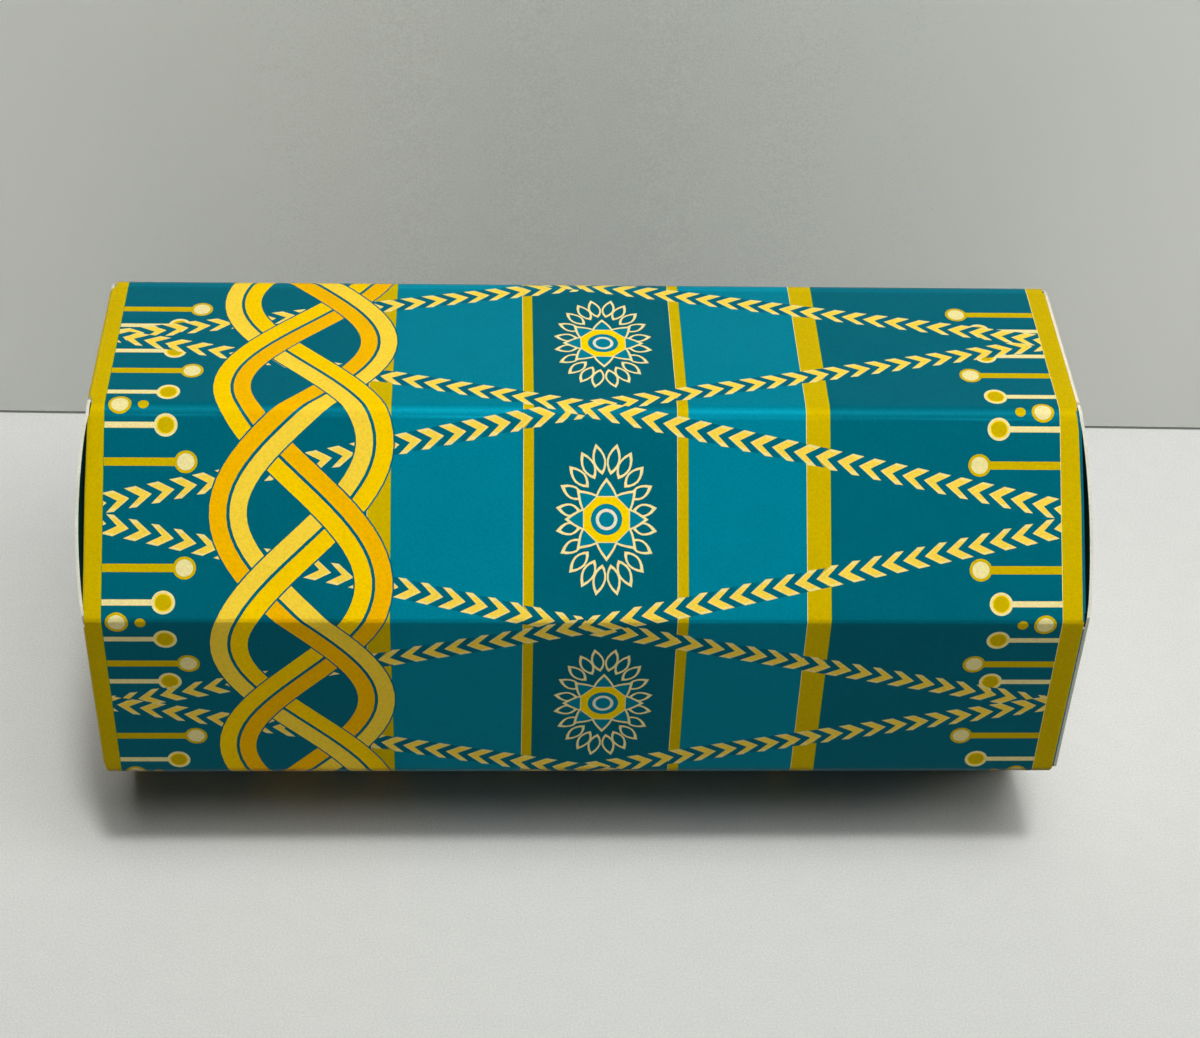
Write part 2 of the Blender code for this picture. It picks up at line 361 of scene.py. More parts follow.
WIDE, THIN = (2.92, 3.0), (1.25, 1.34)
STRIPES = (
    (LIGHT_BAND[0] - WIDE[0], LIGHT_BAND[0]), (LIGHT_BAND[1], LIGHT_BAND[1] + WIDE[1]),
    (CENTRE_BAND[0] - THIN[0], CENTRE_BAND[0]), (CENTRE_BAND[1], CENTRE_BAND[1] + THIN[1]),
)
HAIRLINE = 0.07
hair_green = ink("hairline_green", (70, 140, 60))

for left, right in STRIPES:
    print_band(left - HAIRLINE, right, cream)
    print_band(left, right + HAIRLINE, hair_green)
    print_band(left, right, olive)

# The small motifs are drawn once each and repeated over the flat sheet by Geometry Nodes.


def tree_of(name, **inputs):
    """A Geometry Nodes tree with a mesh going in, named inputs and an ink."""
    tree = bpy.data.node_groups.new(name, "GeometryNodeTree")
    tree.interface.new_socket("Geometry", in_out="INPUT", socket_type="NodeSocketGeometry")
    for label, kind in inputs.items():
        tree.interface.new_socket(label, in_out="INPUT", socket_type=f"NodeSocket{kind}")
    tree.interface.new_socket("Ink", in_out="INPUT", socket_type="NodeSocketMaterial")
    tree.interface.new_socket("Geometry", in_out="OUTPUT", socket_type="NodeSocketGeometry")
    return tree, tree.nodes.new("NodeGroupInput").outputs


def close_tree(tree, geometry, ink_socket):
    """Ends a tree in Realize Instances and Set Material."""
    real = shader_node(tree, "GeometryNodeRealizeInstances", {0: geometry})
    inked = shader_node(
        tree, "GeometryNodeSetMaterial", {"Geometry": real.outputs[0], "Material": ink_socket}
    )
    shader_node(tree, "NodeGroupOutput", {0: inked.outputs[0]})


def flat_mesh(shapes):
    """A mesh of flat outlines."""
    mesh = bpy.data.meshes.new("motif")
    points = [(p[0], p[1], 0.0) for shape in shapes for p in shape]
    faces, first = [], 0
    for shape in shapes:
        faces.append(list(range(first, first + len(shape))))
        first += len(shape)
    mesh.from_pydata(points, [], faces)
    return mesh


def grown(tree, mesh, **values):
    """The plain mesh that a tree makes from a mesh, with the tree's inputs set."""
    holder = bpy.data.objects.new("flat_print", mesh)
    bpy.context.scene.collection.objects.link(holder)
    modifier = holder.modifiers.new("print", "NODES")
    modifier.node_group = tree
    for item in tree.interface.items_tree:
        if item.in_out == "INPUT" and item.name in values:
            modifier[item.identifier] = values[item.name]
    evaluated = holder.evaluated_get(bpy.context.evaluated_depsgraph_get())
    made = bpy.data.meshes.new_from_object(evaluated)
    bpy.data.objects.remove(holder)
    return made


def outlines(mesh):
    return [[tuple(mesh.vertices[n].co[:2]) for n in face.vertices] for face in mesh.polygons]


def print_mesh(mesh, colour):
    prints.extend((shape, colour) for shape in outlines(mesh))


def stamp_tree():
    """A motif on every point of a mesh."""
    tree, given = tree_of("stamp", Motif="Object")
    motif = shader_node(tree, "GeometryNodeObjectInfo", {"Object": given["Motif"]})
    stamped = shader_node(
        tree, "GeometryNodeInstanceOnPoints",
        {"Points": given["Geometry"], "Instance": motif.outputs["Geometry"]},
    )
    close_tree(tree, stamped.outputs[0], given["Ink"])
    return tree


def row_tree():
    """A motif in a straight row: where it starts, its step, how many and how they are turned."""
    tree, given = tree_of("row", Start="Vector", Step="Vector", Count="Int", Turn="Float")
    line = shader_node(
        tree, "GeometryNodeMeshLine",
        {"Count": given["Count"], "Start Location": given["Start"], "Offset": given["Step"]},
        mode="OFFSET",
    )
    turned = shader_node(tree, "ShaderNodeCombineXYZ", {"Z": given["Turn"]})
    stood = shader_node(
        tree, "GeometryNodeInstanceOnPoints",
        {"Points": line.outputs[0], "Instance": given["Geometry"], "Rotation": turned.outputs[0]},
    )
    close_tree(tree, stood.outputs[0], given["Ink"])
    return tree


stamping = stamp_tree()
row_making = row_tree()


def stamp(places, motif_mesh, colour):
    """Prints a motif at each of the places."""
    motif = bpy.data.objects.new("motif", motif_mesh)
    bpy.context.scene.collection.objects.link(motif)
    points = bpy.data.meshes.new("places")
    points.from_pydata([(x, v, 0.0) for x, v in places], [], [])
    print_mesh(grown(stamping, points, Motif=motif, Ink=colour), colour)
    bpy.data.objects.remove(motif)


DISC_STEPS = 22
SPECK_STEPS = 14


def disc(radius, steps=DISC_STEPS):
    angles = [2 * math.pi * (n + 0.5) / steps for n in range(steps)]
    return flat_mesh([[(radius * math.cos(a), radius * math.sin(a)) for a in angles]])


# The stems: short bars with a round head that stand in from both ends of the tube, and a pair
# of loose dots on each fold. Long ones are olive with a cream head, short ones cream with olive.

STEM_ROOT = (-61.17, 60.5)
LONG_HEAD = (-50.83, 50.0)
SHORT_HEAD = (-53.42, 52.58)
LONG_ROWS = (
    (6.42, 19.92), (7.17, 20.58), (7.42, 20.5), (7.0, 20.4),
    (7.0, 20.4), (7.0, 20.4), (7.0, 20.4), (7.0, 20.4),
)
SHORT_ROWS = (
    (10.08, 15.67, 24.42), (2.5, 24.92), (3.17, 10.58, 24.92), (2.8, 24.7),
    (2.8, 24.7), (2.8, 24.7), (2.8, 24.7), (2.8, 24.7),
)
LONG_STEM, SHORT_STEM = 1.05, 0.78
LONG_HEAD_RADII = (1.46, 1.1)
SHORT_HEAD_RADII = (1.5, 1.15, 1.0)
FOLD_ROWS = ((-1.7, -1.7), (-0.33, 0.17), (0.42, 0.58), (0.5, 0.5)) + ((0.2, 0.2),) * 4 + ((-1.7, -1.7),)
FOLD_DOT_X = (-59.25, 58.3)
FOLD_SPECK_X = (-56.3, 55.4)
FOLD_SPECK = 0.7

for end in (0, 1):
    for heads, rows, width, colour in (
        (SHORT_HEAD, SHORT_ROWS, SHORT_STEM, cream), (LONG_HEAD, LONG_ROWS, LONG_STEM, olive),
    ):
        places = [(heads[end], n * facet_width + row) for n, group in enumerate(rows) for row in group]
        reach = STEM_ROOT[end] - heads[end]
        stem = flat_mesh([box_shape(min(0.0, reach), max(0.0, reach), -width / 2, width / 2)])
        stamp(places, stem, colour)
        if colour is olive:
            stamp(places, disc(LONG_HEAD_RADII[0]), olive)
            stamp(places, disc(LONG_HEAD_RADII[1]), cream)
        else:
            stamp(places, disc(SHORT_HEAD_RADII[0]), cream)
            stamp(places, disc(SHORT_HEAD_RADII[1]), yellow)
            stamp(places, disc(SHORT_HEAD_RADII[2]), olive)
    dots = [(FOLD_DOT_X[end], n * facet_width + row[end]) for n, row in enumerate(FOLD_ROWS)]
    stamp(dots, disc(LONG_HEAD_RADII[0]), olive)
    stamp(dots, disc(LONG_HEAD_RADII[1]), cream)
    specks = [(FOLD_SPECK_X[end], n * facet_width + row[end]) for n, row in enumerate(FOLD_ROWS)]
    stamp(specks, disc(FOLD_SPECK, SPECK_STEPS), olive)

# The rope borders: chevrons laid head to tail along lines that cross on every fold and meet the
# next pair half way down each facet at the ends. One arm of a chevron is fatter than the other,
# and a dark chevron fills each gap.

CROSSING_X = (-0.33, -0.11, -0.42, -0.33, -0.3, -0.3, -0.3, -0.3, -0.33)
CROSSING_V = (0.17, -0.07, 0.82, -0.08, 0.0, 0.0, 0.0, 0.0, 0.17)
FALLS = (True, True, False, True, False, True, False, True, True)  # the upper rope at each fold
ROPE_ENDS = (  # down from the fold above each facet: left upper, left lower, right upper, lower
    (12.39, 12.58, 12.17, 13.08), (12.5, 14.92, 12.86, 15.07), (14.5, 14.67, 14.48, 14.62),
    (13.4, 13.8, 13.4, 13.8), (13.4, 13.8, 13.4, 13.8), (13.4, 13.8, 13.4, 13.8),
    (13.4, 13.8, 13.4, 13.8), (13.4, 13.8, 13.4, 13.8),
)
CHEVRON = ((0, 0), (1.8, -1.38), (3.3, -1.35), (1.53, 0.02), (3.2, 1.2), (2.2, 1.3))
CHEVRON_HEART = ((0.28, 0), (1.6, -1.08), (2.75, -1.05), (1.5, 0.02), (2.5, 0.78), (1.75, 0.9))
CHEVRON_GAP = ((0.9, 0), (2.7, -1.35), (4.4, -1.35), (2.9, 0), (4.3, 1.15), (2.6, 1.2))
LEFT_TIP = {"<": -1.333, ">": -1.43}
RIGHT_TIP = {"<": 1.117, ">": 0.89}
LEFT_PITCH = 2.82
RIGHT_PITCH = 2.78


def rope(points_left, falling, crossing, end, tip, pitch):
    """One half of a rope, from its crossing on a fold to an end of the tube."""
    slope = (end[1] - crossing[1]) / (end[0] - crossing[0])
    angle = math.atan(slope)
    outward = 1 if end[0] > 0 else -1
    count = math.ceil((abs(end[0]) + pitch) / pitch)
    start = (tip, crossing[1] + slope * (tip - crossing[0]), 0.0)
    step = (outward * pitch, outward * pitch * slope, 0.0)
    facing = 1 if points_left else -1
    fat = 1 if falling == points_left else -1
    for outline, colour in ((CHEVRON_GAP, teal), (CHEVRON, pale_gold), (CHEVRON_HEART, gold)):
        motif = flat_mesh([[(facing * s, fat * n) for s, n in outline]])
        made = grown(
            row_making, motif, Start=start, Step=step, Count=count, Turn=angle, Ink=colour
        )
        yield from ((shape, colour) for shape in outlines(made))


def ropes(mark):
    """Every rope whose chevrons point one way, each laid over the one above it."""
    points_left = mark == "<"
    found = []
    for fold, falls in enumerate(FALLS):
        falling = falls == points_left
        v = fold * facet_width
        crossing = (CROSSING_X[fold], v + CROSSING_V[fold])
        above = ROPE_ENDS[(fold - 1) % len(FACETS)]
        below = ROPE_ENDS[fold % len(FACETS)]
        left = above[1] - facet_width if falling else below[0]
        right = below[2] if falling else above[3] - facet_width
        ends = ((STEM_ROOT[0], v + left), (STEM_ROOT[1], v + right))
        tips = (LEFT_TIP[mark], RIGHT_TIP[mark])
        for end, tip, pitch in zip(ends, tips, (LEFT_PITCH, RIGHT_PITCH)):
            found.extend(rope(points_left, falling, crossing, end, tip, pitch))
    return found


prints.extend(ropes(">"))
prints.extend(ropes("<"))

# The rosettes: one in the middle of each facet, twenty outlined petals on an oval round a star of
# eight leaves, and a yellow octagon with a ringed eye.

ROSETTE_X = 2.25
ROSETTE_ROWS = (13.35, 14.27, 14.5, 13.6, 13.6, 13.6, 13.6, 13.6)
PETALS, LEAVES = 20, 8
PETAL = ((0, 0), (0.12, 0.24), (0.28, 0.42), (0.45, 0.5), (0.62, 0.45), (0.8, 0.3), (1, 0))
PETAL_FAN = 0.04  # how far the petals lean out from the oval's long axis
LEAF = ((0, 0.5), (0.2, 0.47), (0.42, 0.38), (0.66, 0.24), (0.86, 0.1), (1, 0))
RINGS = (  # (shape, how many, first angle, fan, inner oval, outer oval, width, ink), lowest first
    (PETAL, PETALS, math.pi / PETALS, PETAL_FAN, (3.2, 5.75), (6.5, 9.9), 1.72, cream),
    (PETAL, PETALS, math.pi / PETALS, PETAL_FAN, (3.72, 6.25), (5.88, 9.3), 1.2, centre_teal),
    (LEAF, LEAVES, 0.0, 0.0, (2.6, 2.6), (5.35, 5.35), 2.8, cream),
    (LEAF, LEAVES, 0.0, 0.0, (2.6, 2.6), (4.8, 4.8), 2.3, light_teal),
)
OCTAGONS = ((2.98, cream), (2.85, yellow))  # (middle to flat, ink)
EYE = ((2.0, 28, light_teal), (1.37, 26, eye_cream), (0.97, 22, light_teal))  # (radius, points, ink)


def ring_tree():
    """A motif between two ovals, as often as it is told, turned and stretched from one to the other."""
    tree, given = tree_of(
        "ring", Count="Int", Turn="Float", Base="Vector", Tip="Vector", Width="Float", Fan="Float"
    )
    number = shader_node(tree, "GeometryNodeInputIndex").outputs[0]
    share = maths(tree, "DIVIDE", number, given["Count"])
    angle = maths(tree, "MULTIPLY_ADD", share, 2 * math.pi, given["Turn"])
    half_turns = maths(tree, "ROUND", maths(tree, "DIVIDE", angle, math.pi))
    off_axis = maths(tree, "MULTIPLY_ADD", half_turns, -math.pi, angle)
    fanned = maths(tree, "SUBTRACT", angle, maths(tree, "MULTIPLY", off_axis, given["Fan"]))
    ends = []
    for oval, at in (("Base", angle), ("Tip", fanned)):
        direction = shader_node(
            tree, "ShaderNodeCombineXYZ",
            {"X": maths(tree, "COSINE", at), "Y": maths(tree, "SINE", at)},
        ).outputs[0]
        ends.append(shader_node(
            tree, "ShaderNodeVectorMath", {0: direction, 1: given[oval]}, operation="MULTIPLY"
        ))
    reach = shader_node(
        tree, "ShaderNodeVectorMath",
        {0: ends[1].outputs[0], 1: ends[0].outputs[0]}, operation="SUBTRACT",
    )
    length = shader_node(tree, "ShaderNodeVectorMath", {0: reach.outputs[0]}, operation="LENGTH")
    line = shader_node(
        tree, "GeometryNodeMeshLine", {"Count": given["Count"], "Offset": (0, 0, 0)}, mode="OFFSET"
    )
    stood = shader_node(
        tree, "GeometryNodeSetPosition",
        {"Geometry": line.outputs[0], "Position": ends[0].outputs[0]},
    )
    turned = shader_node(
        tree, "FunctionNodeAlignRotationToVector", {"Vector": reach.outputs[0]},
        axis="X", pivot_axis="Z",
    )
    size = shader_node(
        tree, "ShaderNodeCombineXYZ", {"X": length.outputs["Value"], "Y": given["Width"], "Z": 1.0}
    )
    petals = shader_node(
        tree, "GeometryNodeInstanceOnPoints",
        {
            "Points": stood.outputs[0], "Instance": given["Geometry"],
            "Rotation": turned.outputs[0], "Scale": size.outputs[0],
        },
    )
    close_tree(tree, petals.outputs[0], given["Ink"])
    return tree


ring_making = ring_tree()
rosettes = [(ROSETTE_X, n * facet_width + row) for n, row in enumerate(ROSETTE_ROWS)]


def both_halves(half):
    """A shape from its upper half, root to tip."""
    return list(half) + [(s, -n) for s, n in reversed(half) if n]


def ring(shape, count, first, fan, base, tip, width, colour):
    """Prints a ring of petals on every rosette."""
    made = grown(
        ring_making, flat_mesh([both_halves(shape)]), Count=count, Turn=first,
        Base=(*base, 0.0), Tip=(*tip, 0.0), Width=width, Fan=fan, Ink=colour,
    )
    stamp(rosettes, made, colour)


def octagon(flat):
    corner = flat / math.cos(math.pi / 8)
    angles = [math.pi / 8 + n * math.pi / 4 for n in range(8)]
    return flat_mesh([[(corner * math.cos(a), corner * math.sin(a)) for a in angles]])


for row in RINGS:
    ring(*row)
for flat, colour in OCTAGONS:
    stamp(rosettes, octagon(flat), colour)
for radius, steps, colour in EYE:
    stamp(rosettes, disc(radius, steps), colour)

# The end bands: olive, along both ends of the tube. The print lies a little to the left on the
# sheet, so at the right a sliver of the teal dust flaps shows before the crease.

CREAM_STOP = 62.6  # where the cream that makes the right band's hairline stops, under the olive
TEAL_STARTS = ((1, 2, 62.3), (2, 4, 62.5), (5, 7, 62.5), (7, 8, 62.3))  # (first fold, last fold, x)

print_band(STEM_ROOT[1] - HAIRLINE, CREAM_STOP, cream)
print_band(STEM_ROOT[1], SHEET_EDGE, olive)
for first, last, edge in TEAL_STARTS:
    print_band(edge, SHEET_EDGE, teal, first * facet_width, last * facet_width)
print_band(-SHEET_EDGE, STEM_ROOT[0] + HAIRLINE, hair_green)
print_band(-SHEET_EDGE, STEM_ROOT[0], olive)

# The plait: three strands of two bands each on the dark ground, printed round the left of the
# tube over all else.

PLAIT_X = -36.3
PLAIT_SWING = 9.2
PLAIT_PERIOD = 2 * facet_width
BAND = 2.15
BAND_GAP = 0.42
BAND_STEPS = 176
amber = ink("amber", (250, 186, 0))
sun = ink("sun_yellow", (255, 208, 0))
straw = ink("straw_yellow", (255, 216, 62))
STRANDS = ((amber, straw), (sun, amber), (straw, sun))


def band_tree():
    """A flat band that swings from side to side, with how high it lies kept on its faces."""
    tree, given = tree_of(
        "band", Length="Float", Width="Float", Offset="Float", Swing="Float",
        Period="Float", Phase="Float", Steps="Int",
    )
    strip = shader_node(
        tree, "GeometryNodeMeshGrid",
        {
            "Size X": given["Width"], "Size Y": given["Length"],
            "Vertices X": 2, "Vertices Y": given["Steps"],
        },
    )
    at = shader_node(
        tree, "ShaderNodeSeparateXYZ", {0: shader_node(tree, "GeometryNodeInputPosition").outputs[0]}
    )
    wave = maths(tree, "DIVIDE", 2 * math.pi, given["Period"])
    angle = maths(tree, "MULTIPLY_ADD", at.outputs["Y"], wave, given["Phase"])
    middle = maths(tree, "MULTIPLY", given["Swing"], maths(tree, "SINE", angle))
    lean = maths(
        tree, "MULTIPLY", maths(tree, "MULTIPLY", given["Swing"], wave), maths(tree, "COSINE", angle)
    )
    along = maths(tree, "SQRT", maths(tree, "MULTIPLY_ADD", lean, lean, 1.0))
    beside = maths(tree, "DIVIDE", maths(tree, "ADD", at.outputs["X"], given["Offset"]), along)
    moved = shader_node(
        tree, "ShaderNodeCombineXYZ",
        {
            "X": maths(tree, "ADD", middle, beside),
            "Y": maths(tree, "SUBTRACT", at.outputs["Y"], maths(tree, "MULTIPLY", beside, lean)),
        },
    )
    height = maths(tree, "SINE", maths(tree, "MULTIPLY", angle, 2.0))
    lifted = shader_node(
        tree, "GeometryNodeStoreNamedAttribute",
        {"Geometry": strip.outputs["Mesh"], "Name": "height", "Value": height}, domain="FACE",
    )
    swung = shader_node(
        tree, "GeometryNodeSetPosition",
        {"Geometry": lifted.outputs[0], "Position": moved.outputs[0]},
    )
    close_tree(tree, swung.outputs[0], given["Ink"])
    return tree


band_making = band_tree()
plait = []
for strand, pair in enumerate(STRANDS):
    apart = (BAND + BAND_GAP) / 2
    ground = 2 * apart + BAND + BAND_GAP
    for offset, width, colour in ((0.0, ground, teal), (-apart, BAND, pair[0]), (apart, BAND, pair[1])):
        made = grown(
            band_making, flat_mesh([]), Length=sheet_round + 2 * WRAP, Width=width,
            Offset=offset, Swing=PLAIT_SWING, Period=PLAIT_PERIOD,
            Phase=2 * math.pi * strand / len(STRANDS), Steps=BAND_STEPS, Ink=colour,
        )
        for height, shape in zip(made.attributes["height"].data, outlines(made)):
            moved = [(PLAIT_X + x, sheet_round / 2 + v) for x, v in shape]
            plait.append((height.value > 0, moved, colour))
plait.sort(key=lambda row: row[0])
prints.extend((shape, colour) for _, shape, colour in plait)

# The tube: eight facets of the printed sheet, each with the fold along its lower edge. A fold in
# card is two tight bends with a narrow flat between them, where the creasing rule pressed it.
# At the ends the sheet turns in on a soft crease to become the dust flaps.

FOLD_REACH = 0.95  # from a fold's line to where the facet is flat again
FOLD_BENDS = (  # (length share, slope in degrees) of the flats across a fold
    (0.42, 3.0), (0.08, 8.0), (0.08, 15.0), (0.12, 20.0), (0.5, 22.5),
    (0.12, 25.0), (0.08, 30.0), (0.08, 37.0), (0.42, 42.0),
)
FOLD_SIZES = (1.0, 0.55, 0.8, 0.8, 0.8, 0.8, 0.8, 0.8)  # of the fold below each facet
# How pale each fold is painted: a painted highlight with a little wear, strongest under the top facet,
# none on the next fold.
FOLD_SHEEN_AND_WEAR = (0.5, 1.0, 0.0, 0.5, 0.5, 0.5, 0.5, 0.5, 0.5)
FOLD_SHEEN_LINES = ((0.45, 0.8, 0.7), (1.25, 0.25, 1.0))  # (from the fold, half width, strength) of the two painted highlight lines on a fold
FLAT_REST = 0.15  # flat strip kept beside a fold, so that its shading stays in it
END_ROUND = 0.5  # outer radius of the crease at the tube's end
END_STEPS = 6
END_SHOULDER = 1.25  # from a fold to the dust flap's root
END_CUT = 62.56  # where the cut edge beside each fold lies
TOP_SHOULDER = 0.9
REACH_START = 61.3
REACH_ROWS = (0.06, 0.1, 0.5)  # shares of a facet's width where the reach of its ends changes
END_REACHES = (  # (facets round from the middle of the top, reach)
    (0.0, 0.12), (0.46, 0.12), (0.5, 0.27), (0.56, 0.5), (0.7, 0.74), (1.35, 0.74), (1.6, 0.72),
    (2.0, 0.7), (2.45, 0.66), (2.6, 0.3), (4.0, 0.27),
)
SEAM_OPEN = 0.12  # what shows between the glued edge and the fold it meets

fold_scale = (
    2 * FOLD_REACH * math.cos(turn / 2)
    / sum(share * math.cos(math.radians(slope) - turn / 2) for share, slope in FOLD_BENDS)
)
fold_points = [(FOLD_REACH, 0.0)]  # (y, z) from the sharp corner that the two facets would make
for share, slope in FOLD_BENDS:
    y, z = fold_points[-1]
    slope = math.radians(slope)
    fold_points.append(
        (y - share * fold_scale * math.cos(slope), z - share * fold_scale * math.sin(slope))
    )
fold_stations = [-FOLD_REACH]
for share, slope in FOLD_BENDS:
    fold_stations.append(fold_stations[-1] + share)
stretch = 2 * FOLD_REACH / (fold_stations[-1] + FOLD_REACH)
fold_stations = [(station + FOLD_REACH) * stretch - FOLD_REACH for station in fold_stations]
fold_slopes = [0.0] + [math.radians(slope) for _, slope in FOLD_BENDS] + [turn]


def around(number, x, y, z):
    """Turns a point of the top facet round the tube's axis to another facet."""
    angle = number * turn
    return (
        x,
        y * math.cos(angle) - z * math.sin(angle),
        apothem + y * math.sin(angle) + z * math.cos(angle),
    )


def over_fold(from_fold, depth, size):
    """(y, z) of a point on the top facet or over its front fold, from the tube's axis."""
    station = from_fold / size
    if station <= fold_stations[0]:
        y, z, slope = -from_fold, 0.0, 0.0
    elif station >= fold_stations[-1]:
        y, z, slope = -from_fold * math.cos(turn), -from_fold * math.sin(turn), turn
    else:
        step = max(n for n in range(len(FOLD_BENDS)) if fold_stations[n] <= station)
        share = (station - fold_stations[step]) / (fold_stations[step + 1] - fold_stations[step])
        start, stop = fold_points[step], fold_points[step + 1]
        slopes = [(fold_slopes[n] + fold_slopes[n + 1]) / 2 for n in (step, step + 1)]
        slope = slopes[0] + (slopes[1] - slopes[0]) * share
        y = size * (start[0] + (stop[0] - start[0]) * share)
        z = size * (start[1] + (stop[1] - start[1]) * share)
    return -facet_width / 2 + y + depth * math.sin(slope), apothem + z - depth * math.cos(slope)


def end_reach(v):
    """How far the tube's edge stands past the solid's: the bowed covers leave it room."""
    share = v / facet_width
    from_top = abs(share - 0.5) if share < 4.5 else 8.5 - share
    for (start, low), (stop, high) in zip(END_REACHES, END_REACHES[1:]):
        if from_top <= stop:
            return low + (high - low) * (from_top - start) / (stop - start)
    return END_REACHES[-1][1]


def over_end(x, depth, crease):
    """(x, depth) of a point on a facet or over the soft crease at its end."""
    past = abs(x) - (crease - END_ROUND)
    if past <= 0:
        return x, depth
    angle = min(past / END_ROUND, math.pi / 2)
    reach = END_ROUND - depth
    turned = crease - END_ROUND + reach * math.sin(angle)
    return math.copysign(turned, x), END_ROUND - reach * math.cos(angle)


def facet_place(number, creased):
    """Folds a facet: its place in the tube from its place on the flat sheet."""
    def place(x, v, depth):
        share = (abs(x) - REACH_START) / (tube_end - END_ROUND - REACH_START)
        reach = end_reach(v) * min(1.0, max(0.0, share))
        if creased:
            x, depth = over_end(x, depth, tube_end)
        y, z = over_fold(v - (number + 1) * facet_width, depth, FOLD_SIZES[number])
        return around(number, x + math.copysign(reach, x), y, z)
    return place


def facet_sheen_and_wear(number):
    """Ink is painted pale along the bends of the folds: a painted highlight, with a little wear."""
    def sheen_and_wear(x, v):
        sheen_share = 0.0
        for fold in (number, number + 1):
            for at, half, strength in FOLD_SHEEN_LINES:
                near = abs(v - fold * facet_width - at * FOLD_SIZES[fold - 1])
                sheen_share = max(sheen_share, FOLD_SHEEN_AND_WEAR[fold] * strength * (1 - near / half))
        return sheen_share
    return sheen_and_wear


print_spans = [(min(v for _, v in shape), max(v for _, v in shape)) for shape, _ in prints]
curled = [
    tube_end - END_ROUND + END_ROUND * math.pi / 2 * n / END_STEPS for n in range(END_STEPS + 1)
]

for number, facet in enumerate(FACETS):
    above = number * facet_width + FOLD_REACH + FLAT_REST
    below = above + facet_width
    if facet == "back":
        above += SEAM_OPEN
    creased = facet not in ("top", "bottom")
    tip = curled[-1] if creased else (tube_end if facet == "top" else cover_face)
    shoulder = END_SHOULDER if creased else TOP_SHOULDER
    high = number * facet_width + shoulder
    low = (number + 1) * facet_width - shoulder
    half = [(END_CUT, above), (END_CUT, high), (tip, high), (tip, low), (END_CUT, low), (END_CUT, below)]
    if high < above + FLAT_REST:
        half = [(tip, above), (tip, low), (END_CUT, low), (END_CUT, below)]
    outline = half + [(-x, v) for x, v in reversed(half)]
    fold = (number + 1) * facet_width
    rows = [fold + s * FOLD_SIZES[number] for s in fold_stations]
    rows.append(rows[0] - FLAT_REST)
    rows += [number * facet_width + share * facet_width for share in REACH_ROWS]
    rows += [fold + (at + more) for at, half, _ in FOLD_SHEEN_LINES for more in (-half, 0.0, half)]
    lines = [[(-SHEET_EDGE, row), (SHEET_EDGE, row)] for row in rows]
    lines += [[(side * REACH_START, above - 1), (side * REACH_START, below + 1)] for side in (1, -1)]
    if creased:
        for x in curled[:-1]:
            lines.extend([[(side * x, above - 1), (side * x, below + 1)] for side in (1, -1)])
    here = [
        pair for pair, (first, last) in zip(prints, print_spans) if last > above and first < below
    ]
    card_piece(
        f"printed_{facet}", f"panel_{facet}", "tube", outline,
        facet_place(number, creased), teal, lines, here, facet_sheen_and_wear(number),
    )

# The seam: a plain strip of the sheet, left unprinted, glued inside the back facet. Its ends are
# slanted so that it clears the creases.

GLUE_WIDTH = 11.0
GLUE_SLANT = 3.85
glue_half = (glue_box[1].x / MM, glue_box[1].x / MM - GLUE_SLANT)
glue_root = apothem - glue_box[0].z / MM
glued_board = paper("glued_board", (222, 218, 200), 0.6, tooth=0.3, mottle=0.12)


def glue_place(x, v, depth):
    return around(FACETS.index("back"), x, v, apothem - lining - depth)


glue_edge = [(-glue_half[0], glue_root), (-glue_half[1], glue_root - GLUE_WIDTH)]
card_piece(
    "glue_seam", "glue_flap", "tube",
    glue_edge + [(-x, v) for x, v in reversed(glue_edge)], glue_place, glued_board,
)

# The dust flaps: six at each end, on the ends of all facets but the top and the bottom one. They
# taper, so that they lie beside each other, and fold in first, behind the cover.

DUST_HEIGHT = 12.0
DUST_SHOULDER = 1.5
DUST_TAPER = 0.58
DUST_CORNER = 2.0
DUST_LEAN = 0.14  # how far its root stands out, in the room behind the cover
CORNER_STEPS = 7


def corner(centre, radius, first, last):
    """Points round a flap's rounded corner."""
    angles = [first + (last - first) * n / CORNER_STEPS for n in range(CORNER_STEPS + 1)]
    return [(centre[0] + radius * math.cos(a), centre[1] + radius * math.sin(a)) for a in angles]


def mirrored(half):
    """A whole outline from its half on one side of the middle line."""
    return half + [(-x, v) for x, v in reversed(half)]


dust_root = facet_width / 2 - DUST_SHOULDER
dust_lean = math.atan(DUST_TAPER)
dust_inset = DUST_CORNER * math.tan((math.pi / 2 - dust_lean) / 2)
dust_tip = (dust_root - DUST_TAPER * DUST_HEIGHT - dust_inset, DUST_HEIGHT - DUST_CORNER)
dust_outline = mirrored(
    [(dust_root, 0.0)] + corner(dust_tip, DUST_CORNER, dust_lean, math.pi / 2)
)


def dust_place(number, side):
    """Lays a dust flap in, leaning a little out at its root, where the cover leaves it room."""
    def place(x, v, depth):
        lean = DUST_LEAN * (1 - v / DUST_HEIGHT)
        return around(number, side * (tube_end + lean - depth), x, apothem - lining - v)
    return place


for side_name, side in SIDES.items():
    for number, facet in enumerate(FACETS):
        if facet in ("top", "bottom"):
            continue
        flap = f"{side_name}_dust_flap_{facet}"
        card_piece(
            f"printed_{flap}", flap, flap, dust_outline,
            dust_place(number, side), teal,
        )

# The end covers: an octagon of the sheet, cream outside, hinged on the top facet. The card turns
# over on its crease there and again at the tuck flap, and its free upper edges spring out.

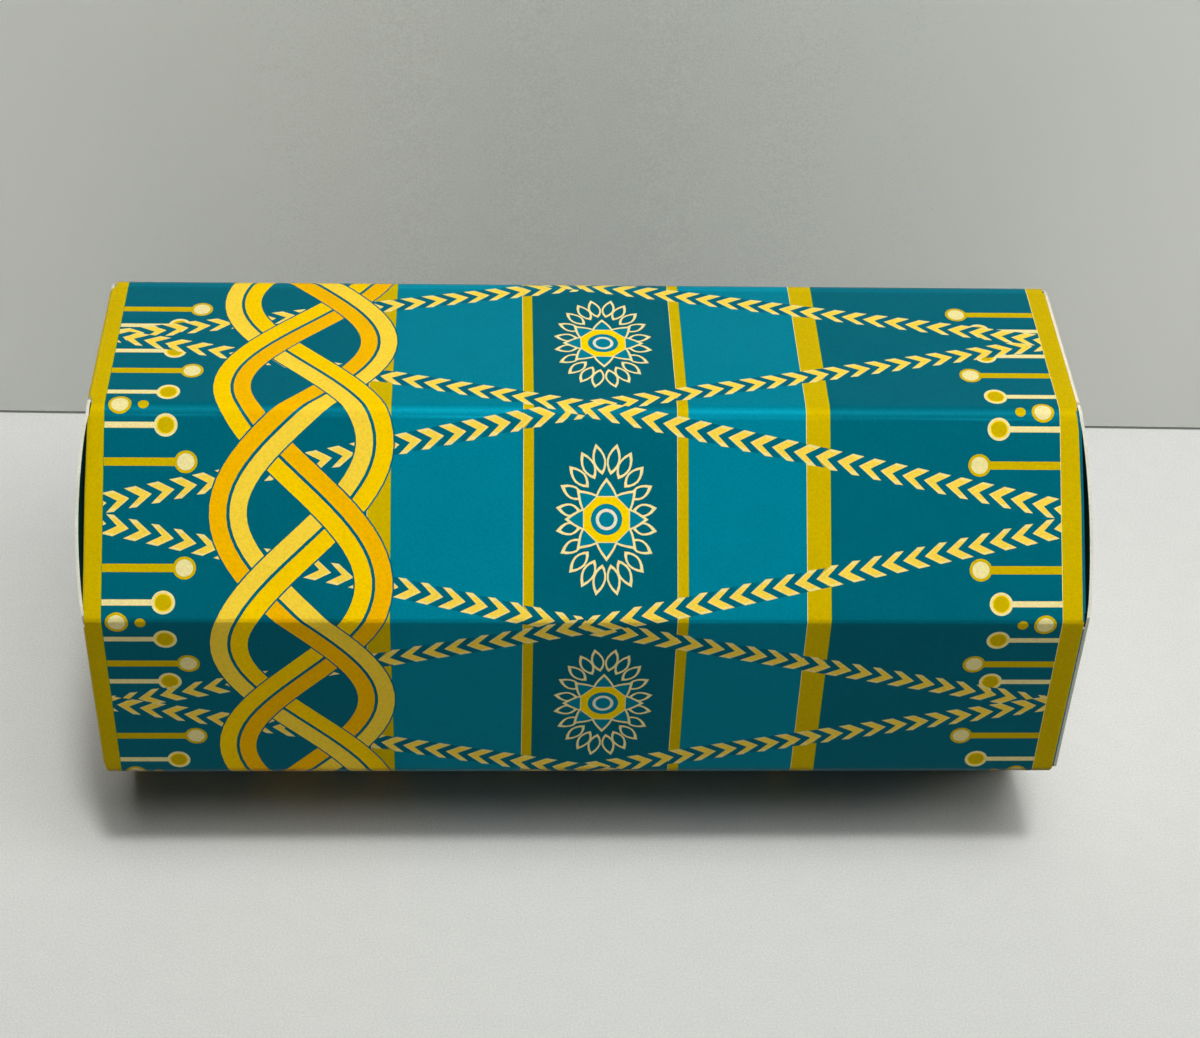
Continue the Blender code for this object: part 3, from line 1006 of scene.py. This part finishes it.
COVER_INSET = 0.2
COVER_TUCKED = 0.55  # its lower free edges lie inside the tube's rolled edges
EAR_CUT = 0.6
BOW_FULLNESS = 0.7
BOW_SHARE = 0.63  # of a corner's height that the bow between two corners doesn't add
CORNERS_OUT = {  # how far the cover is sprung out at each corner, from the hinge's back end on
    "right": (0.0, 0.0, 0.0, 0.5, 0.35, 0.0, 0.0, 0.0, 0.44, 0.0),
    "left": (0.0, 0.0, 0.0, 0.04, -0.15, 0.0, 0.0, 0.0, 0.44, 0.0),
}
COVER_RINGS = (0.97, 0.94, 0.89, 0.84, 0.78, 0.71, 0.63, 0.55, 0.46, 0.36)
SIDE_STEPS = 16
HINGE_ROUND = 0.55
TUCK_ROUND = 0.5
LIP = 0.02
LIP_STEPS = 5
HINGE_HALF = 11.9
HINGE_SPILL = 0.08  # how far the print's edge runs in over the hinge crease
RIM_CLEAR = 0.01  # keeps the rings off the card that turns over
RUBBED = 0.15
TUCK_SHOULDER = 1.0

cover_cream = paper("cover_cream", (238, 231, 208), 0.45, sheen_and_wear=0.35)
bow = cad_box[1].x / MM - cover_face
cover_low = apothem - lining
cover_free = apothem - COVER_INSET
cover_tucked = apothem - COVER_TUCKED
ear = apothem / math.cos(turn / 2) - EAR_CUT
COVER_SIDES = (  # (direction from the top, distance from the tube's axis, whether it is bowed)
    (0, apothem, False), (turn / 2, ear, False), (turn, cover_free, True),
    (2 * turn, cover_tucked, False), (3 * turn, cover_tucked, False), (4 * turn, cover_low, False),
    (5 * turn, cover_tucked, False), (6 * turn, cover_tucked, False),
    (7 * turn, cover_free, True), (7.5 * turn, ear, False),
)


def meeting(one, other):
    """Where two sides of the cover meet."""
    a, b = -math.sin(one[0]), math.cos(one[0])
    c, d = -math.sin(other[0]), math.cos(other[0])
    det = a * d - b * c
    return (one[1] * d - b * other[1]) / det, (a * other[1] - c * one[1]) / det


cover_corners = [
    meeting(COVER_SIDES[n - 1], COVER_SIDES[n]) for n in range(len(COVER_SIDES))
]


def stands_out(y, z, corners_out):
    """How far the cover is bowed outwards at a point of its face."""
    shares = [
        (z * math.cos(direction) - y * math.sin(direction)) / distance
        for direction, distance, _ in COVER_SIDES
    ]
    share = max(shares)
    number = shares.index(share)
    if share <= COVER_RINGS[-1]:
        return 0.0
    after = (number + 1) % len(COVER_SIDES)
    start, stop = cover_corners[number], cover_corners[after]
    at = (y / share - start[0], z / share - start[1])
    side = (stop[0] - start[0], stop[1] - start[1])
    along = (at[0] * side[0] + at[1] * side[1]) / (side[0] ** 2 + side[1] ** 2)
    along = min(1.0, max(0.0, along))
    out = corners_out[number] + (corners_out[after] - corners_out[number]) * along
    if COVER_SIDES[number][2]:
        full = bow - max(corners_out[number], corners_out[after]) * BOW_SHARE
        out += full * math.sin(math.pi * along) ** BOW_FULLNESS
    return out * ((share - COVER_RINGS[-1]) / (1 - COVER_RINGS[-1])) ** 2


def cover_place(side, corners_out):
    def place(y, z, depth):
        out = cover_face + stands_out(y, z, corners_out) - depth
        for level, radius in ((apothem, HINGE_ROUND), (-cover_low, TUCK_ROUND)):
            way = 1 if level > 0 else -1
            past = way * z - (abs(level) - radius)
            if past > 0:
                angle = min(past / radius, math.pi / 2)
                further = max(0.0, past - radius * math.pi / 2)
                reach = radius - depth
                out = cover_face - radius + reach * math.cos(angle) - further
                z = way * (abs(level) - radius + reach * math.sin(angle))
                break
        return side * out, y, apothem + z
    return place


def cover_outline():
    """The cover on the flat sheet, with the card that turns over at its hinge and its tuck crease."""
    high = apothem - HINGE_ROUND
    low = -cover_low + TUCK_ROUND
    tuck_half = facet_width / 2 - TUCK_SHOULDER
    half = [
        (-HINGE_HALF, high + HINGE_ROUND * math.pi / 2 + LIP), (-HINGE_HALF, high),
        meeting((0, high), COVER_SIDES[1]),
    ]
    for number in (2, 3, 4):
        start = cover_corners[number]
        stop = cover_corners[number + 1]
        steps = SIDE_STEPS if COVER_SIDES[number][2] else 1
        half.extend(
            (start[0] + (stop[0] - start[0]) * n / steps, start[1] + (stop[1] - start[1]) * n / steps)
            for n in range(steps)
        )
    half.append(meeting(COVER_SIDES[4], (4 * turn, -low)))
    half += [(-tuck_half, low), (-tuck_half, low - TUCK_ROUND * math.pi / 2 - LIP)]
    return half + [(-y, z) for y, z in reversed(half)]


cover_flat = cover_outline()
bowed_rim = [p for p in cover_flat if abs(p[1]) < apothem - HINGE_ROUND - RIM_CLEAR]
cover_lines = []
for share in COVER_RINGS:
    loop = [(y * share, z * share) for y, z in bowed_rim]
    cover_lines.append(loop + loop[:1])
for level, radius in ((apothem, HINGE_ROUND), (-cover_low, TUCK_ROUND)):
    for step in range(-1, LIP_STEPS + 1):
        past = radius * math.pi / 2 * step / LIP_STEPS if step >= 0 else -FLAT_REST
        z = math.copysign(abs(level) - radius + past, level)
        cover_lines.append([(-SHEET_EDGE, z), (SHEET_EDGE, z)])


def cover_worn(y, z):
    """The coat is a little rubbed where the card turns over."""
    near = min(apothem - HINGE_ROUND / 2 - z, z + cover_low - TUCK_ROUND / 2)
    return RUBBED if near < HINGE_ROUND / 2 else 0.0


hinge_print = box_shape(
    -HINGE_HALF, HINGE_HALF, apothem - HINGE_ROUND + HINGE_SPILL, apothem + HINGE_ROUND
)
COVER_PRINTS = {"right": [], "left": [(hinge_print, olive)]}  # the print that runs over the hinge

for side_name, side in SIDES.items():
    cover = f"{side_name}_end_cover"
    card_piece(
        f"creased_{cover}", cover, cover, cover_flat,
        cover_place(side, CORNERS_OUT[side_name]), cover_cream, cover_lines,
        COVER_PRINTS[side_name], cover_worn,
    )

# The tuck flaps: the last fold of each cover, pushed in over the bottom facet to hold it shut.
# They rise a little on their crease, so that their tips clear the facet as the cover swings.

TUCK_LENGTH = 12.0
TUCK_CORNER = 5.0
tuck_half = facet_width / 2 - TUCK_SHOULDER
hinge_x = cover_face - card / 2
hinge_drop = 2 * apothem - card / 2 - lining
tuck_rise = math.asin((TUCK_LENGTH + 2 * (hinge_x - tube_end)) / (2 * hinge_drop))
tuck_outline = mirrored(
    [(tuck_half, 0.0)]
    + corner((tuck_half - TUCK_CORNER, TUCK_LENGTH - TUCK_CORNER), TUCK_CORNER, 0, math.pi / 2)
)


def tuck_place(side):
    def place(y, v, depth):
        drop = card - depth
        x = tube_end - v * math.cos(tuck_rise) - drop * math.sin(tuck_rise)
        z = lining + card + v * math.sin(tuck_rise) - drop * math.cos(tuck_rise)
        return side * x, y, z
    return place


for side_name, side in SIDES.items():
    flap = f"{side_name}_tuck_flap"
    card_piece(
        f"creased_{flap}", flap, flap, tuck_outline, tuck_place(side), cover_cream,
    )

# The floor and the wall: plain pale paper, with painted shading on what the eye sees of them. The wall
# stands close behind the carton, a little aslant, with a narrow gap at its foot painted dark grey as its
# shadow.

STAGE_HALF = 2.0
WALL_HIGH = 0.6
WALL_AT = (0.0069, 0.0673)  # (x, y) of one point of the wall's foot
WALL_SLANT = -0.0147
GAP_WIDTH = 0.0006
GAP_LIFT = 0.00005
THROWN = (96, 96, 94)  # what the floor and the wall give back to the carton
FAR = (0.4, 1.5)  # where the sheets leave the lamps' reach and glow for the eye, as painted light
FAR_GLOW_LEVEL = 0.75


def sheet_of(name, corners, material):
    mesh = bpy.data.meshes.new(name)
    mesh.from_pydata(corners, [], [list(range(len(corners)))])
    mesh.materials.append(material)
    made = bpy.data.objects.new(name, mesh)
    bpy.context.scene.collection.objects.link(made)


def seen_rays(tree):
    """1 on what the eye sees straight, in a gloss or through something clear."""
    ray = shader_node(tree, "ShaderNodeLightPath").outputs
    bent = maths(tree, "MAXIMUM", ray["Is Glossy Ray"], ray["Is Transmission Ray"])
    return maths(tree, "MAXIMUM", ray["Is Camera Ray"], bent)


def stage_paper(name, colour, low, high, axis, sided=False):
    """Plain paper: what the eye sees of it is painted with shading from low to high along an axis and
    glows far off as painted light; what it throws back is set.
    """
    material = paper(name, colour, 0.6, tooth=0.02, mottle=0.012)
    tree = material.node_tree
    shader = tree.nodes["Principled BSDF"]
    seen = shader.inputs["Base Color"].links[0].from_socket
    shown = seen_rays(tree)
    place = shader_node(tree, "ShaderNodeTexCoord").outputs["Object"]
    at = shader_node(tree, "ShaderNodeSeparateXYZ", {0: place}).outputs[axis]
    if sided:
        at = maths(tree, "ABSOLUTE", at)
    # What the eye sees is scaled along the axis: painted shading.
    painted_shade_tone = shader_node(
        tree, "ShaderNodeVectorMath", {0: seen, "Scale": ranged(tree, at, low, high)},
        operation="SCALE",
    ).outputs[0]
    given = mixed(tree, shown, linear(THROWN), painted_shade_tone)
    tree.links.new(given, shader.inputs["Base Color"])
    # Far off, what the eye sees of a sheet glows: painted light.
    away = shader_node(tree, "ShaderNodeVectorMath", {0: place}, operation="LENGTH").outputs["Value"]
    far = ranged(tree, away, (FAR[0], 0.0), (FAR[1], FAR_GLOW_LEVEL))
    shader.inputs["Emission Color"].default_value = linear(colour)
    tree.links.new(maths(tree, "MULTIPLY", far, shown), shader.inputs["Emission Strength"])
    return material


def see_through_from_behind(material):
    """Clears the back of a sheet, so that the wall doesn't hide the carton from behind."""
    tree = material.node_tree
    behind = shader_node(tree, "ShaderNodeNewGeometry").outputs["Backfacing"]
    clear = shader_node(tree, "ShaderNodeBsdfTransparent").outputs[0]
    front = tree.nodes["Principled BSDF"].outputs[0]
    sheet = shader_node(tree, "ShaderNodeMixShader", {0: behind, 1: front, 2: clear})
    tree.links.new(sheet.outputs[0], tree.nodes["Material Output"].inputs["Surface"])


FLOOR_PAINTED_SHADE = ((-0.1, 0.9), (0.06, 1.08))  # (place along Y, brightness), near and far: painted shading, darker towards the front
WALL_PAINTED_SHADE = ((0.01, 1.0), (0.1, 1.28))  # (distance to either side along X, brightness): painted shade, darker behind the carton's middle
floor_paper = stage_paper("floor_paper", (221, 222, 218), *FLOOR_PAINTED_SHADE, "Y")
wall_paper = stage_paper("wall_paper", (242, 245, 238), *WALL_PAINTED_SHADE, "X", sided=True)
see_through_from_behind(wall_paper)
# The narrow gap at the wall's foot is painted dark grey: painted shadow.
gap_painted_shadow = paper("gap_painted_shadow", (110, 112, 108), 0.8, tooth=0.02)


def wall_line(x, back, z):
    return x, WALL_AT[1] + WALL_SLANT * (x - WALL_AT[0]) + back, z


LEFT, RIGHT = -STAGE_HALF, STAGE_HALF
sheet_of("floor", [(LEFT, LEFT, 0), (RIGHT, LEFT, 0), (RIGHT, RIGHT, 0), (LEFT, RIGHT, 0)], floor_paper)
for name, near, far, material in (
    ("floor_gap", (0.0, GAP_LIFT), (GAP_WIDTH, GAP_LIFT), gap_painted_shadow),
    ("wall", (GAP_WIDTH, 0.0), (GAP_WIDTH, WALL_HIGH), wall_paper),
):
    round_it = ((LEFT, near), (RIGHT, near), (RIGHT, far), (LEFT, far))
    sheet_of(name, [wall_line(x, *edge) for x, edge in round_it], material)

# The light: a small and a broad lamp nearly overhead, a weak one from the right, two narrow beams
# on the end covers, one lamp for the floor behind the wall, and the room's own light all round.

LAMP_AIM = Vector((0.0, 0.0, 0.03))
LAMPS = (  # (name, width in metres, watts, place, beam in degrees where it is narrow)
    ("key", 0.115, 3.55, (0.06, -0.29, 0.95), None),
    ("soft", 0.75, 5.2, (0.14, -0.28, 0.95), None),
    ("side", 0.5, 1.9, (0.95, -0.25, 0.65), None),
    ("left_end", 0.05, 13.0, (-1.1, 0.0, 0.03), 6.5),
    ("right_end", 0.05, 7.0, (1.1, 0.0, 0.03), 6.5),
    ("behind", 0.6, 2.2, (-0.2, 0.9, 0.35), None),
)
ROOM_COLOUR = (0.86, 0.88, 0.86, 1)
ROOM, ROOM_SEEN = 0.02, 0.72  # strength of the room's light, and as the eye sees it

for name, size, energy, place, beam in LAMPS:
    light = bpy.data.lights.new(name, "SPOT" if beam else "AREA")
    light.energy = energy
    if beam:
        light.spot_size = math.radians(beam)
        light.spot_blend = 1.0
        light.shadow_soft_size = size / 2
    else:
        light.shape = "DISK"
        light.size = size
    stand = bpy.data.objects.new(name, light)
    bpy.context.scene.collection.objects.link(stand)
    stand.location = place
    stand.visible_camera = False
    stand.rotation_euler = (LAMP_AIM - Vector(place)).to_track_quat("-Z", "Y").to_euler()

world = bpy.data.worlds.new("room")
bpy.context.scene.world = world
world.use_nodes = True
room_tree = world.node_tree
room = room_tree.nodes["Background"]
room.inputs["Color"].default_value = ROOM_COLOUR
room_level = maths(room_tree, "MULTIPLY_ADD", seen_rays(room_tree), ROOM_SEEN - ROOM, ROOM)
room_tree.links.new(room_level, room.inputs["Strength"])

# The camera stands a little left of the middle and looks down at the front.

AZIMUTH, ELEVATION, ROLL = (math.radians(a) for a in (3.27716, 40.38608, 2.33050))
CAMERA_AIM = Vector((0.0027769, 0.0, 0.0354681))
CAMERA_AWAY = 0.3382371
LENS = 72.695
SENSOR = 36
NEAREST = 0.01

forward = Vector((
    math.sin(AZIMUTH) * math.cos(ELEVATION), math.cos(AZIMUTH) * math.cos(ELEVATION),
    -math.sin(ELEVATION),
))
right = Vector((math.cos(AZIMUTH), -math.sin(AZIMUTH), 0))
up = right.cross(forward)
rolled_right = math.cos(ROLL) * right + math.sin(ROLL) * up
rolled_up = math.cos(ROLL) * up - math.sin(ROLL) * right
camera_data = bpy.data.cameras.new("camera")
camera_data.lens = LENS
camera_data.sensor_width = SENSOR
camera_data.clip_start = NEAREST
camera = bpy.data.objects.new("camera", camera_data)
bpy.context.scene.collection.objects.link(camera)
spot = CAMERA_AIM - CAMERA_AWAY * forward
camera.matrix_world = Matrix(
    [[rolled_right[n], rolled_up[n], -forward[n], spot[n]] for n in range(3)] + [[0, 0, 0, 1]]
)
bpy.context.scene.camera = camera
bpy.context.scene.view_settings.view_transform = "Standard"
